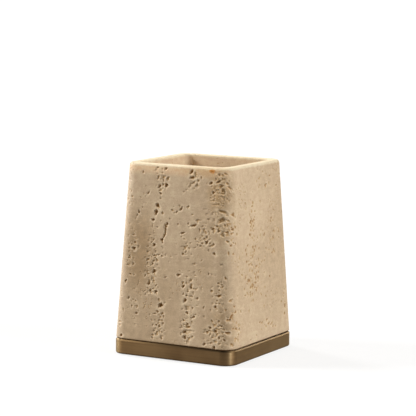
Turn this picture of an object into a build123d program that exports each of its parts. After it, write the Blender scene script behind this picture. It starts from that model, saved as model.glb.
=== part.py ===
"""A pen stand: a tapered stone cup on a bronze base, bolted together from below.

Millimetres, +Z up. The origin is the middle of the footprint, on the desk that the feet stand on.
"""

from build123d import *
import math
import os

# Heights of the stack, from the desk up
FOOT_PROUD = 0.6
BASE_HEIGHT = 9.4
GASKET_THICKNESS = 0.6
CUP_HEIGHT = 110.0

# Plan of the stack, square with rounded corners
BASE_SIDE = 85.4
RIM_SIDE = 73.2
CORNER_RADIUS = 8.5
CUP_SETBACK = 0.15
GASKET_SETBACK = 1.6

# The cup's pocket, which narrows downwards
RIM_WALL = 6.0
FLOOR_THICKNESS = 14.0
POCKET_DRAFT_DEG = 1.0
POCKET_CORNER_RADIUS = 5.0
POCKET_FLOOR_ROUND = 4.0

# Edges of the stone and of the metal
RIM_OUTER_ROUND = 1.8
RIM_INNER_ROUND = 1.0
CUP_ARRIS_CHAMFER = 0.3
BASE_TOP_CHAMFER = 0.9
BASE_BOTTOM_CHAMFER = 0.8

# The base's hollow underside, with a boss in each corner on the axis of a screw and a foot
BASE_WALL = 5.0
BASE_DECK = 4.0
BOSS_DIAMETER = 15.0
BOSS_BLEND = 2.0
FASTENER_INSET = 9.5

# M4 cheese head screws and the brass inserts that they go into
SCREW_DIAMETER = 4.0
SCREW_LENGTH = 12.0
SCREW_TIP_CHAMFER = 0.5
HEAD_DIAMETER = 7.0
HEAD_HEIGHT = 2.6
HEAD_CHAMFER = 0.4
SOCKET_ACROSS_FLATS = 2.5
SOCKET_DEPTH = 1.5
INSERT_DIAMETER = 6.3
INSERT_LENGTH = 8.0
INSERT_GROOVE_WIDTH = 1.6
INSERT_GROOVE_DEPTH = 0.5

# Feet pressed into the bosses, below the screw heads
FOOT_DIAMETER = 10.8
FOOT_SEAT_DEPTH = 1.5
FOOT_EDGE_CHAMFER = 0.4

# Clearances, on the radius or along the axis
THREAD_CLEARANCE = 0.05
BOND_CLEARANCE = 0.05
FOOT_CLEARANCE = 0.1
SCREW_CLEARANCE = 0.25
HEAD_CLEARANCE = 0.5
INSERT_END_CLEARANCE = 0.5

# Levels that the pieces share
Z_BASE = FOOT_PROUD
Z_FOOT_SEAT = Z_BASE + FOOT_SEAT_DEPTH
Z_GASKET = Z_BASE + BASE_HEIGHT
Z_DECK = Z_GASKET - BASE_DECK
Z_HEAD = Z_DECK - HEAD_HEIGHT
Z_CUP = Z_GASKET + GASKET_THICKNESS
Z_RIM = Z_CUP + CUP_HEIGHT

# Plan sizes and angles that follow from the values above
CUP_FOOT_SIDE = BASE_SIDE - 2 * CUP_SETBACK
CUP_TAPER_DEG = math.degrees(math.atan2((CUP_FOOT_SIDE - RIM_SIDE) / 2, CUP_HEIGHT))
GASKET_SIDE = BASE_SIDE - 2 * GASKET_SETBACK
POCKET_MOUTH_SIDE = RIM_SIDE - 2 * RIM_WALL
HOLLOW_SIDE = BASE_SIDE - 2 * BASE_WALL
FASTENER_SPAN = BASE_SIDE - 2 * FASTENER_INSET

os.makedirs("parts", exist_ok=True)


def at_fasteners():
    """The four corner axes, each with an insert, a screw and a foot on it."""
    return GridLocations(FASTENER_SPAN, FASTENER_SPAN, 2, 2)


def slanted_edges(body):
    """The corner edges of a tapered block: the ones that leave the horizontal."""
    return body.edges().filter_by(lambda edge: abs(edge.tangent_at(0.5).Z) > 0.5)


# Core of the pocket: a drafted block with round corners and a round floor, cut from the cup
with BuildPart() as pocket_core:
    with BuildSketch(Plane.XY.offset(Z_RIM)):
        Rectangle(POCKET_MOUTH_SIDE, POCKET_MOUTH_SIDE)
    extrude(amount=FLOOR_THICKNESS - CUP_HEIGHT)
    draft(pocket_core.faces().filter_by(Axis.Z, reverse=True), Plane.XY.offset(Z_RIM), -POCKET_DRAFT_DEG)
    fillet(slanted_edges(pocket_core), radius=POCKET_CORNER_RADIUS)
    fillet(pocket_core.faces().sort_by(Axis.Z)[0].edges(), radius=POCKET_FLOOR_ROUND)

# Stone cup: a tapered block with round corners, a rolled rim and blind holes for the inserts
with BuildPart() as stone_cup:
    with BuildSketch(Plane.XY.offset(Z_CUP)):
        Rectangle(CUP_FOOT_SIDE, CUP_FOOT_SIDE)
    extrude(amount=CUP_HEIGHT, taper=CUP_TAPER_DEG)
    fillet(slanted_edges(stone_cup), radius=CORNER_RADIUS)
    chamfer(stone_cup.faces().sort_by(Axis.Z)[0].edges(), length=CUP_ARRIS_CHAMFER)
    fillet(stone_cup.faces().sort_by(Axis.Z)[-1].edges(), radius=RIM_OUTER_ROUND)
    add(pocket_core.part, mode=Mode.SUBTRACT)
    rim = stone_cup.faces().filter_by(Plane.XY).sort_by(Axis.Z)[-1]
    fillet(rim.inner_wires()[0].edges(), radius=RIM_INNER_ROUND)
    with BuildSketch(Plane.XY.offset(Z_CUP)):
        with at_fasteners():
            Circle(INSERT_DIAMETER / 2 + BOND_CLEARANCE)
    extrude(amount=INSERT_LENGTH + INSERT_END_CLEARANCE, mode=Mode.SUBTRACT)
stone_cup.part.label = "stone_cup"
export_step(stone_cup.part, "parts/stone_cup.step")

# Bronze base: a plinth hollowed from below, bored through its bosses for the feet and screws
with BuildPart() as bronze_base:
    with BuildSketch(Plane.XY.offset(Z_BASE)):
        RectangleRounded(BASE_SIDE, BASE_SIDE, CORNER_RADIUS)
    extrude(amount=BASE_HEIGHT)
    chamfer(bronze_base.faces().sort_by(Axis.Z)[-1].edges(), length=BASE_TOP_CHAMFER)
    chamfer(bronze_base.faces().sort_by(Axis.Z)[0].edges(), length=BASE_BOTTOM_CHAMFER)
    with BuildSketch(Plane.XY.offset(Z_BASE)) as hollow:
        Rectangle(HOLLOW_SIDE, HOLLOW_SIDE)
        with at_fasteners():
            Circle(BOSS_DIAMETER / 2, mode=Mode.SUBTRACT)
        with GridLocations(BASE_SIDE - FASTENER_INSET, BASE_SIDE - FASTENER_INSET, 2, 2):
            Rectangle(FASTENER_INSET, FASTENER_INSET, mode=Mode.SUBTRACT)
        fillet(hollow.vertices(), radius=BOSS_BLEND)
    extrude(amount=Z_DECK - Z_BASE, mode=Mode.SUBTRACT)
    with BuildSketch(Plane.XY.offset(Z_BASE)):
        with at_fasteners():
            Circle(FOOT_DIAMETER / 2 + FOOT_CLEARANCE)
    extrude(amount=FOOT_SEAT_DEPTH, mode=Mode.SUBTRACT)
    with BuildSketch(Plane.XY.offset(Z_FOOT_SEAT)):
        with at_fasteners():
            Circle(HEAD_DIAMETER / 2 + HEAD_CLEARANCE)
    extrude(amount=Z_DECK - Z_FOOT_SEAT, mode=Mode.SUBTRACT)
    with BuildSketch(Plane.XY.offset(Z_DECK)):
        with at_fasteners():
            Circle(SCREW_DIAMETER / 2 + SCREW_CLEARANCE)
    extrude(amount=BASE_DECK, mode=Mode.SUBTRACT)
bronze_base.part.label = "bronze_base"
export_step(bronze_base.part, "parts/bronze_base.step")

# Bedding gasket: a thin sheet set back from the edge, which leaves a dark line round the stand
with BuildPart() as bedding_gasket:
    with BuildSketch(Plane.XY.offset(Z_GASKET)):
        RectangleRounded(GASKET_SIDE, GASKET_SIDE, CORNER_RADIUS - GASKET_SETBACK)
        with at_fasteners():
            Circle(SCREW_DIAMETER / 2 + SCREW_CLEARANCE, mode=Mode.SUBTRACT)
    extrude(amount=GASKET_THICKNESS)
bedding_gasket.part.label = "bedding_gasket"
export_step(bedding_gasket.part, "parts/bedding_gasket.step")

# Threaded inserts: brass sleeves with a groove that the bond fills, flush with the cup's underside
with BuildPart() as threaded_inserts:
    with BuildSketch(Plane.XY.offset(Z_CUP)):
        with at_fasteners():
            Circle(INSERT_DIAMETER / 2)
    extrude(amount=INSERT_LENGTH)
    with BuildSketch(Plane.XY.offset(Z_CUP + (INSERT_LENGTH - INSERT_GROOVE_WIDTH) / 2)):
        with at_fasteners():
            Circle(INSERT_DIAMETER / 2)
            Circle(INSERT_DIAMETER / 2 - INSERT_GROOVE_DEPTH, mode=Mode.SUBTRACT)
    extrude(amount=INSERT_GROOVE_WIDTH, mode=Mode.SUBTRACT)
    with BuildSketch(Plane.XY.offset(Z_CUP)):
        with at_fasteners():
            Circle(SCREW_DIAMETER / 2 + THREAD_CLEARANCE)
    extrude(amount=INSERT_LENGTH, mode=Mode.SUBTRACT)
threaded_inserts.part.label = "threaded_inserts"
export_step(threaded_inserts.part, "parts/threaded_inserts.step")

# Base screws: cheese heads with a hexagon socket, driven from below up to the deck
with BuildPart() as base_screws:
    with BuildSketch(Plane.XY.offset(Z_HEAD)):
        with at_fasteners():
            Circle(HEAD_DIAMETER / 2)
    extrude(amount=HEAD_HEIGHT)
    chamfer(base_screws.faces().group_by(Axis.Z)[0].edges(), length=HEAD_CHAMFER)
    with BuildSketch(Plane.XY.offset(Z_DECK)):
        with at_fasteners():
            Circle(SCREW_DIAMETER / 2)
    extrude(amount=SCREW_LENGTH)
    chamfer(base_screws.faces().group_by(Axis.Z)[-1].edges(), length=SCREW_TIP_CHAMFER)
    with BuildSketch(Plane.XY.offset(Z_HEAD)):
        with at_fasteners():
            RegularPolygon(SOCKET_ACROSS_FLATS / 2, 6, major_radius=False)
    extrude(amount=SOCKET_DEPTH, mode=Mode.SUBTRACT)
base_screws.part.label = "base_screws"
export_step(base_screws.part, "parts/base_screws.step")

# Feet: soft pads, one in each boss, named by their corner as seen from the front, at -Y
FOOT_CORNERS = {
    "foot_front_left": (-1, -1),
    "foot_front_right": (1, -1),
    "foot_back_left": (-1, 1),
    "foot_back_right": (1, 1),
}
for foot_name, (side_x, side_y) in FOOT_CORNERS.items():
    foot_centre = (side_x * FASTENER_SPAN / 2, side_y * FASTENER_SPAN / 2, 0)
    with BuildPart() as foot:
        with BuildSketch(Plane(origin=foot_centre)):
            Circle(FOOT_DIAMETER / 2)
        extrude(amount=Z_FOOT_SEAT)
        chamfer(foot.faces().sort_by(Axis.Z)[0].edges(), length=FOOT_EDGE_CHAMFER)
    foot.part.label = foot_name
    export_step(foot.part, f"parts/{foot_name}.step")
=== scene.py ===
"""A pen stand in a plain studio: a pitted travertine cup on a brushed bronze base with rubber feet.

Metres, +Z up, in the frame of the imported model. The front face of the stand is at -Y.
"""

import logging
import math
import random
from collections.abc import Callable, Iterator
from contextlib import contextmanager
from dataclasses import dataclass
from enum import Enum
from typing import Any

import bmesh
import bpy
import numpy as np
from mathutils import Matrix, Vector, noise


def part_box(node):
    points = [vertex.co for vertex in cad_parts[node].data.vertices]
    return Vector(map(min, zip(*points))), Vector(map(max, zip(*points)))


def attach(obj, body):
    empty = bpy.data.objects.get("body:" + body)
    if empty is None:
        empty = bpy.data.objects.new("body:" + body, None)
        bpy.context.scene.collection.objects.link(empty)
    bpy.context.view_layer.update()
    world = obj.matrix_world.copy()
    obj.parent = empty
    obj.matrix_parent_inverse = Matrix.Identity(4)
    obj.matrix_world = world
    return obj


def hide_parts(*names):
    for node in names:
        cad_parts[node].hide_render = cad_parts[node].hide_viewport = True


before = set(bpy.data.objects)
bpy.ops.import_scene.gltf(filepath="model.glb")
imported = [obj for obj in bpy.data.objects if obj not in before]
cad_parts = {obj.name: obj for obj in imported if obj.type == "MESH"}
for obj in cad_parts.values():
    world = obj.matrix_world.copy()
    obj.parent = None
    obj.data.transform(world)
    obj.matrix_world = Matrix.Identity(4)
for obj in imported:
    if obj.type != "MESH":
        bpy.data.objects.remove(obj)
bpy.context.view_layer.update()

log = logging.getLogger("pen_stand")

MM = 0.001
BODY = "root"
TOUCH = 0.01 * MM
UPRIGHT = 0.99
UP = Vector((0.0, 0.0, 1.0))
EVEN = (1.0, 1.0, 1.0)
BLACK = (0.0, 0.0, 0.0, 1.0)
WHITE = (1.0, 1.0, 1.0, 1.0)

Colour = tuple[float, float, float, float]
Triple = tuple[float, float, float]
Span = tuple[float, float]
Socket = bpy.types.NodeSocket
Values = dict[str | int, Any]


def srgb(red: float, green: float, blue: float) -> Colour:
    """Turns a colour as seen on a screen, 0 to 255, into linear light.

    Args:
        red: Red as seen on a screen.
        green: Green as seen on a screen.
        blue: Blue as seen on a screen.

    Returns:
        The linear colour, with full opacity.
    """
    seen = [value / 255.0 for value in (red, green, blue)]
    linear = [v / 12.92 if v <= 0.04045 else ((v + 0.055) / 1.055) ** 2.4 for v in seen]
    return (linear[0], linear[1], linear[2], 1.0)


# Modelling by operators


class Pick(Enum):
    """What a selection is made of."""

    EDGES = "EDGE"
    FACES = "FACE"


def take(*pieces: bpy.types.Object) -> None:
    """Selects only these objects, and makes the first one active.

    Args:
        *pieces: The objects.
    """
    bpy.ops.object.select_all(action="DESELECT")
    for piece in pieces:
        piece.select_set(True)
    bpy.context.view_layer.objects.active = pieces[0]


@contextmanager
def editing(piece: bpy.types.Object) -> Iterator[None]:
    """Holds one object in edit mode.

    Args:
        piece: The mesh object to edit.

    Yields:
        Nothing: the operators inside the block act on the piece.
    """
    take(piece)
    bpy.ops.object.mode_set(mode="EDIT")
    yield
    bpy.ops.object.mode_set(mode="OBJECT")


def pick(piece: bpy.types.Object, kind: Pick, test: Callable[[Any], bool]) -> None:
    """Selects, in edit mode, only the edges or faces that pass a test.

    Args:
        piece: The mesh object that is in edit mode.
        kind: Whether edges or faces are tested.
        test: Says of one edge or face whether it is wanted.
    """
    bpy.ops.mesh.select_mode(type=kind.value)
    bpy.ops.mesh.select_all(action="DESELECT")
    shell = bmesh.from_edit_mesh(piece.data)
    for one in shell.edges if kind is Pick.EDGES else shell.faces:
        if test(one):
            one.select_set(True)
    shell.select_flush_mode()
    bmesh.update_edit_mesh(piece.data)


def middle(edge: bmesh.types.BMEdge) -> Vector:
    """The middle of an edge."""
    return (edge.verts[0].co + edge.verts[1].co) / 2


def rise(edge: bmesh.types.BMEdge) -> float:
    """How far an edge climbs from end to end."""
    return abs(edge.verts[0].co.z - edge.verts[1].co.z)


def reach(point: Vector) -> float:
    """How far a point is from the middle of the stand, square to the nearer pair of faces."""
    return max(abs(point.x), abs(point.y))


def level(edge: bmesh.types.BMEdge, height: float, inmost: float = 0.0, outmost: float = math.inf) -> bool:
    """Says whether an edge lies flat at a height.

    Args:
        edge: The edge.
        height: The height.
        inmost: The least distance from the middle of the stand that both ends may have.
        outmost: The greatest distance that they may have.

    Returns:
        Whether it does, within these distances.
    """
    flat = all(abs(end.co.z - height) < TOUCH for end in edge.verts)
    return flat and all(inmost <= reach(end.co) <= outmost for end in edge.verts)


def upright(edge: bmesh.types.BMEdge) -> bool:
    """Whether an edge climbs at all."""
    return rise(edge) > TOUCH


def looks_up(face: bmesh.types.BMFace) -> bool:
    """Whether a face lies flat and looks up."""
    return face.normal.z > UPRIGHT


def looks_down(face: bmesh.types.BMFace) -> bool:
    """Whether a face lies flat and looks down."""
    return face.normal.z < -UPRIGHT


def round_over(piece: bpy.types.Object, test: Callable[[Any], bool], width: float, segments: int) -> None:
    """Rounds over, in edit mode, the edges that pass a test.

    Args:
        piece: The mesh object that is in edit mode.
        test: Says of one edge whether it is rounded.
        width: How far the round reaches from the edge.
        segments: How many facets the round has.
    """
    pick(piece, Pick.EDGES, test)
    bpy.ops.mesh.bevel(offset=width, segments=segments, profile=0.5, affect="EDGES", clamp_overlap=False)


def smooth(piece: bpy.types.Object, angle: float) -> None:
    """Shades a piece smooth wherever its facets meet at less than an angle."""
    take(piece)
    bpy.ops.object.shade_smooth_by_angle(angle=angle)


def block(name: str, low: Vector, high: Vector) -> bpy.types.Object:
    """Adds a block between two corners.

    Args:
        name: The object's name.
        low: Its lowest corner.
        high: Its highest corner.

    Returns:
        The block, with its place in its mesh.
    """
    bpy.ops.object.select_all(action="DESELECT")
    bpy.ops.mesh.primitive_cube_add(size=1.0, location=(low + high) / 2, scale=high - low)
    bpy.ops.object.transform_apply(location=True, rotation=True, scale=True)
    piece = bpy.context.active_object
    piece.name = name
    return piece


def drum(name: str, radius: float, foot: Vector, height: float, sides: int) -> bpy.types.Object:
    """Adds an upright cylinder.

    Args:
        name: The object's name.
        radius: Its radius.
        foot: The middle of its lower end.
        height: How tall it is.
        sides: How many facets go round it.

    Returns:
        The cylinder, with its place in its mesh.
    """
    bpy.ops.object.select_all(action="DESELECT")
    centre = foot + UP * (height / 2)
    bpy.ops.mesh.primitive_cylinder_add(vertices=sides, radius=radius, depth=height, location=centre)
    bpy.ops.object.transform_apply(location=True, rotation=True, scale=True)
    piece = bpy.context.active_object
    piece.name = name
    return piece


def merge(pieces: list[bpy.types.Object]) -> bpy.types.Object:
    """Joins objects.

    Args:
        pieces: The objects, of which the first one stays.

    Returns:
        The joined object.
    """
    take(*pieces)
    bpy.ops.object.join()
    return bpy.context.active_object


def combine(piece: bpy.types.Object, tool: bpy.types.Object, operation: str) -> None:
    """Adds a tool's volume to a piece, or cuts it away, and deletes the tool.

    Args:
        piece: The piece that is changed.
        tool: The closed mesh that is added or cut away.
        operation: UNION or DIFFERENCE.
    """
    take(piece)
    modifier = piece.modifiers.new("combine", "BOOLEAN")
    modifier.operation = operation
    modifier.object = tool
    modifier.solver = "EXACT"
    bpy.ops.object.modifier_apply(modifier=modifier.name)
    bpy.data.objects.remove(tool)


def triangles(piece: bpy.types.Object) -> int:
    """How many triangles a mesh object has."""
    return sum(len(face.vertices) - 2 for face in piece.data.polygons)


# Finishes


class Wiring:
    """Adds and links the nodes of one tree."""

    def __init__(self, tree: bpy.types.NodeTree) -> None:
        """Takes over a node tree."""
        self.tree = tree

    def add(self, kind: str, values: Values, **settings: Any) -> bpy.types.NodeOutputs:
        """Adds a node.

        Args:
            kind: Blender's name for the node's type.
            values: What its sockets are fed, by name or number.
            **settings: Properties of the node.

        Returns:
            The new node's outputs.
        """
        node = self.tree.nodes.new(kind)
        for name, value in settings.items():
            setattr(node, name, value)
        self.feed(node, values)
        return node.outputs

    def feed(self, node: bpy.types.Node, values: Values) -> None:
        """Links a node's sockets to others, or sets their values.

        Args:
            node: The node.
            values: A socket to link to, or a plain value, by the fed socket's name or number.
        """
        for name, value in values.items():
            if isinstance(value, Socket):
                self.tree.links.new(value, node.inputs[name])
            else:
                node.inputs[name].default_value = value

    def sum(self, operation: str, first: Any, second: Any) -> Socket:
        """Works out one sum, such as ADD or MULTIPLY, of two values."""
        return self.add("ShaderNodeMath", {0: first, 1: second}, operation=operation)["Value"]


class NodeBench(Wiring):
    """Lays out the shader nodes of one material, on Object coordinates."""

    def __init__(self, name: str) -> None:
        """Starts a material with one Principled shader.

        Args:
            name: The material's name.
        """
        self.material = bpy.data.materials.new(name)
        self.material.use_nodes = True
        super().__init__(self.material.node_tree)
        self.shader = self.tree.nodes["Principled BSDF"]
        self.place = self.add("ShaderNodeTexCoord", {})["Object"]

    def cloud(self, scale: float, detail: float, stretch: Triple = EVEN, warp: float = 0.0) -> Socket:
        """Soft random variation.

        Args:
            scale: Repeats in a metre.
            detail: Octaves of finer variation.
            stretch: Scale along each axis, where it isn't even.
            warp: How far the pattern is pulled out of shape.

        Returns:
            A value about 0.5, from 0 to 1.
        """
        place = self.add("ShaderNodeMapping", {"Vector": self.place, "Scale": stretch})["Vector"]
        values = {"Vector": place, "Scale": scale, "Detail": detail, "Distortion": warp}
        return self.add("ShaderNodeTexNoise", values)["Fac"]

    def pores(self, scale: float) -> Socket:
        """Distance from the nearest of many scattered points, 0 at each point."""
        return self.add("ShaderNodeTexVoronoi", {"Vector": self.place, "Scale": scale})["Distance"]

    def attribute(self, name: str) -> Socket:
        """A value that the mesh carries at its vertices."""
        return self.add("ShaderNodeAttribute", {}, attribute_name=name)["Fac"]

    def span(self, value: Socket, given: Span, result: Span = (0.0, 1.0)) -> Socket:
        """Maps a value smoothly from one range to another.

        Args:
            value: The value that is mapped.
            given: Where the change begins and ends.
            result: The result at each of these.

        Returns:
            The mapped value.
        """
        ends = {"From Min": given[0], "From Max": given[1], "To Min": result[0], "To Max": result[1]}
        values = {"Value": value, **ends}
        return self.add("ShaderNodeMapRange", values, interpolation_type="SMOOTHSTEP")["Result"]

    def blend(self, share: Any, first: Any, second: Any, way: str = "MIX") -> Socket:
        """Mixes two colours.

        Args:
            share: How much of the second colour is laid on.
            first: The colour below.
            second: The colour on top.
            way: Blender's name for the blend.

        Returns:
            The mixed colour.
        """
        return self.add("ShaderNodeMix", {0: share, 6: first, 7: second}, data_type="RGBA", blend_type=way)[2]

    def height(self) -> Socket:
        """The height above the desk."""
        return self.add("ShaderNodeSeparateXYZ", {"Vector": self.place})["Z"]

    def relief(self, height: Socket, depth: float, below: Socket | None = None) -> Socket:
        """Bends the shading as if the surface rose with a value.

        Args:
            height: The value that the surface follows.
            depth: How far the surface would move, in metres.
            below: The relief that this one lies on.

        Returns:
            The bent normal.
        """
        values = {"Height": height, "Distance": depth, "Strength": 1.0}
        if below is not None:
            values["Normal"] = below
        return self.add("ShaderNodeBump", values)["Normal"]

    def finished(self, values: dict[str, Any]) -> bpy.types.Material:
        """Sets or links the shader's sockets, by their own names, and returns the material."""
        self.feed(self.shader, values)
        return self.material


@dataclass(frozen=True)
class Travertine:
    """Honed, unfilled travertine: pale beds, brown pits and fine pores."""

    foot: float
    rim: float
    pale: Colour = srgb(210, 186, 155)
    dark: Colour = srgb(200, 176, 145)
    bed: Colour = srgb(184, 158, 126)
    # Darker tone for the shade tint: painted shade over the lower front, darker patches of the front, and
    # brown staining round the beds.
    shade_and_stain: Colour = srgb(174, 146, 111)
    # Painted highlight: the band just under the rim's top is paler, standing in for the light its crest
    # catches.
    painted_edge_light: Colour = srgb(218, 202, 172)
    # Painted highlight: a paler, warmer band along the top of the front face, below the rim.
    painted_rim_highlight: Colour = srgb(232, 199, 159)
    ochre: Colour = srgb(182, 142, 87)
    # Pale lips round the pits' mouths: partly paler broken stone, partly painted highlight.
    lip: Colour = srgb(228, 206, 174)
    pit: Colour = srgb(186, 150, 102)
    deep: Colour = srgb(145, 109, 66)
    stain: Colour = srgb(192, 124, 42)
    cloud_scale: float = 28.0
    cloud_span: Span = (0.3, 0.7)
    bed_scale: float = 60.0
    bed_stretch: Triple = (1.0, 0.12, 0.1)
    bed_warp: float = 0.6
    bed_span: Span = (0.48, 0.72)
    bed_share: float = 0.5
    mottle_scale: float = 300.0
    mottle_share: float = 0.26
    streak_scale: float = 800.0
    streak_stretch: Triple = (0.1, 0.1, 1.0)
    streak_share: float = 0.1
    grain_scale: float = 1700.0
    grain_share: float = 0.3
    painted_light_below_rim: Span = (2.1 * MM, 0.6 * MM)
    fray_span: Span = (0.35, 0.65)
    fray: Span = (0.6, 1.4)
    stain_span: Span = (0.2, 0.7)
    pore_scale: float = 520.0
    pore_span: Span = (0.34, 0.2)
    porous_scale: float = 90.0
    porous_stretch: Triple = (1.0, 0.5, 0.4)
    porous_span: Span = (0.55, 0.68)
    pore_share: float = 0.55
    lip_share: float = 0.9
    pit_span: Span = (0.15, 0.75)
    pit_share: float = 0.85
    deep_span: Span = (0.6, 1.0)
    joint_above_foot: Span = (0.7 * MM, 0.2 * MM)
    joint_share: float = 0.4
    mottle_depth: float = 0.06 * MM
    grain_depth: float = 0.05 * MM
    pore_depth: float = 0.25 * MM
    rough_span: Span = (0.2, 0.8)
    roughness: Span = (0.62, 0.8)
    gloss: float = 0.2

    def material(self) -> bpy.types.Material:
        """Builds the material, which reads the tints and pits that the cup's mesh carries.

        Returns:
            The material.
        """
        bench = NodeBench("travertine")
        mottle = bench.cloud(self.mottle_scale, detail=4.0)
        grain = bench.cloud(self.grain_scale, detail=2.0)
        pores = self._pores(bench)
        stone = self._tinted(bench, grain)
        stone = bench.blend(self.mottle_share, stone, mottle, "OVERLAY")
        streaks = bench.cloud(self.streak_scale, detail=2.0, stretch=self.streak_stretch)
        stone = bench.blend(self.streak_share, stone, streaks, "OVERLAY")
        stone = bench.blend(self.grain_share, stone, grain, "OVERLAY")
        stone = self._pitted(bench, stone, pores)
        normal = bench.relief(mottle, self.mottle_depth)
        normal = bench.relief(grain, self.grain_depth, normal)
        normal = bench.relief(pores, -self.pore_depth, normal)
        rough = bench.span(grain, self.rough_span, self.roughness)
        return bench.finished(
            {"Base Color": stone, "Roughness": rough, "Specular IOR Level": self.gloss, "Normal": normal}
        )

    def _pores(self, bench: NodeBench) -> Socket:
        """Fine pores, which keep to some parts of the stone.

        Args:
            bench: The bench that the material is laid out on.

        Returns:
            A value of 1 in a pore and 0 between them.
        """
        porous = bench.cloud(self.porous_scale, detail=2.0, stretch=self.porous_stretch)
        pores = bench.span(bench.pores(self.pore_scale), self.pore_span)
        return bench.sum("MULTIPLY", pores, bench.span(porous, self.porous_span))

    def _tinted(self, bench: NodeBench, grain: Socket) -> Socket:
        """The stone's broad colours: its clouds and beds, and the tints of its parts.

        Args:
            bench: The bench that the material is laid out on.
            grain: The fine variation that frays the stain.

        Returns:
            The colour, before its fine variation.
        """
        cloud = bench.cloud(self.cloud_scale, detail=4.0)
        beds = bench.cloud(self.bed_scale, detail=3.0, stretch=self.bed_stretch, warp=self.bed_warp)
        stone = bench.blend(bench.span(cloud, self.cloud_span), self.dark, self.pale)
        stone = bench.blend(bench.span(beds, self.bed_span, (0.0, self.bed_share)), stone, self.bed)
        # Painted shade over the lower front, darker patches of the front, and brown staining round the beds.
        stone = bench.blend(bench.attribute("shade"), stone, self.shade_and_stain)
        # Painted highlight: a paler band along the top of the front face.
        stone = bench.blend(bench.attribute("painted_rim_highlight"), stone, self.painted_rim_highlight)
        # Painted highlight: the stone just under the rim's top is made paler.
        below, above = (self.rim - depth for depth in self.painted_light_below_rim)
        stone = bench.blend(bench.span(bench.height(), (below, above)), stone, self.painted_edge_light)
        stone = bench.blend(bench.attribute("ochre"), stone, self.ochre)
        frayed = bench.sum("MULTIPLY", bench.attribute("stain"), bench.span(grain, self.fray_span, self.fray))
        return bench.blend(bench.span(frayed, self.stain_span), stone, self.stain)

    def _pitted(self, bench: NodeBench, stone: Socket, pores: Socket) -> Socket:
        """Lays on the colours of the pores, the pits and the painted shade along the stone's foot by the
        joint.

        Args:
            bench: The bench that the material is laid out on.
            stone: The colour of the plain stone.
            pores: Where the fine pores are.

        Returns:
            The finished colour.
        """
        pit = bench.attribute("pit")
        stone = bench.blend(bench.sum("MULTIPLY", pores, self.pore_share), stone, self.pit)
        # Pale lips round the pits: partly paler broken stone, partly painted highlight.
        stone = bench.blend(bench.sum("MULTIPLY", bench.attribute("lip"), self.lip_share), stone, self.lip)
        stone = bench.blend(bench.span(pit, self.pit_span, (0.0, self.pit_share)), stone, self.pit)
        stone = bench.blend(bench.span(pit, self.deep_span), stone, self.deep)
        # Painted shade: the stone's lowest edge, just above the joint, is darkened.
        above, below = (self.foot + height for height in self.joint_above_foot)
        joint = bench.span(bench.height(), (above, below), (0.0, self.joint_share))
        return bench.blend(joint, stone, self.deep)


@dataclass(frozen=True)
class BrushedBronze:
    """Satin bronze brushed round the base, with darker patina, painted shade on its top chamfer and a painted
    shadow at its foot.
    """

    edge_from: float
    foot_shadow_below: float
    metal: Colour = srgb(103, 80, 52)
    patina: Colour = srgb(89, 67, 42)
    # Painted shade: the top chamfer is darker than the metal, which dims its reflections of the lamps.
    painted_edge_light: Colour = srgb(86, 67, 43)
    # Painted shadow along the base's foot, where it meets the desk.
    painted_foot_shadow: Colour = srgb(58, 43, 25)
    edge_tint: Colour = srgb(242, 228, 206)
    line_scale: float = 900.0
    line_stretch: Triple = (0.02, 0.02, 1.0)
    line_share: float = 0.35
    line_depth: float = 0.008 * MM
    line_span: Span = (0.25, 0.75)
    fine_scale: float = 3600.0
    fine_stretch: Triple = (0.03, 0.03, 1.0)
    fine_depth: float = 0.004 * MM
    patina_scale: float = 45.0
    patina_span: Span = (0.35, 0.7)
    edge_light_from: Span = (-0.1 * MM, 0.1 * MM)
    edge_light_share: float = 0.85
    foot_shadow_from: Span = (0.5 * MM, -0.2 * MM)
    foot_shadow_share: float = 0.8
    roughness: Span = (0.41, 0.51)
    brushing: float = 0.75
    across_lines: float = 0.25
    lacquer: float = 0.08
    lacquer_roughness: float = 0.3

    def material(self) -> bpy.types.Material:
        """Builds the material, with painted shade on its top chamfer above a height and a painted shadow
        below another.

        Returns:
            The material.
        """
        bench = NodeBench("brushed_bronze")
        lines = bench.cloud(self.line_scale, detail=3.0, stretch=self.line_stretch)
        fine = bench.cloud(self.fine_scale, detail=2.0, stretch=self.fine_stretch)
        patina = bench.cloud(self.patina_scale, detail=5.0)
        metal = bench.blend(bench.span(patina, self.patina_span), self.metal, self.patina)
        metal = bench.blend(self.line_share, metal, lines, "OVERLAY")
        # The top chamfer gets painted shade and the foot a painted shadow.
        for level_at, band, share, tint in (
            (self.edge_from, self.edge_light_from, self.edge_light_share, self.painted_edge_light),
            (self.foot_shadow_below, self.foot_shadow_from, self.foot_shadow_share, self.painted_foot_shadow),
        ):
            edge = bench.span(bench.height(), (level_at + band[0], level_at + band[1]), (0.0, share))
            metal = bench.blend(edge, metal, tint)
        normal = bench.relief(lines, self.line_depth)
        normal = bench.relief(fine, self.fine_depth, normal)
        round_base = bench.add("ShaderNodeTangent", {}, direction_type="RADIAL", axis="Z")["Tangent"]
        return bench.finished(
            {
                "Base Color": metal,
                "Metallic": 1.0,
                "Specular Tint": self.edge_tint,
                "Roughness": bench.span(lines, self.line_span, self.roughness),
                "Anisotropic": self.brushing,
                "Anisotropic Rotation": self.across_lines,
                "Tangent": round_base,
                "Coat Weight": self.lacquer,
                "Coat Roughness": self.lacquer_roughness,
                "Normal": normal,
            }
        )


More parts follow.
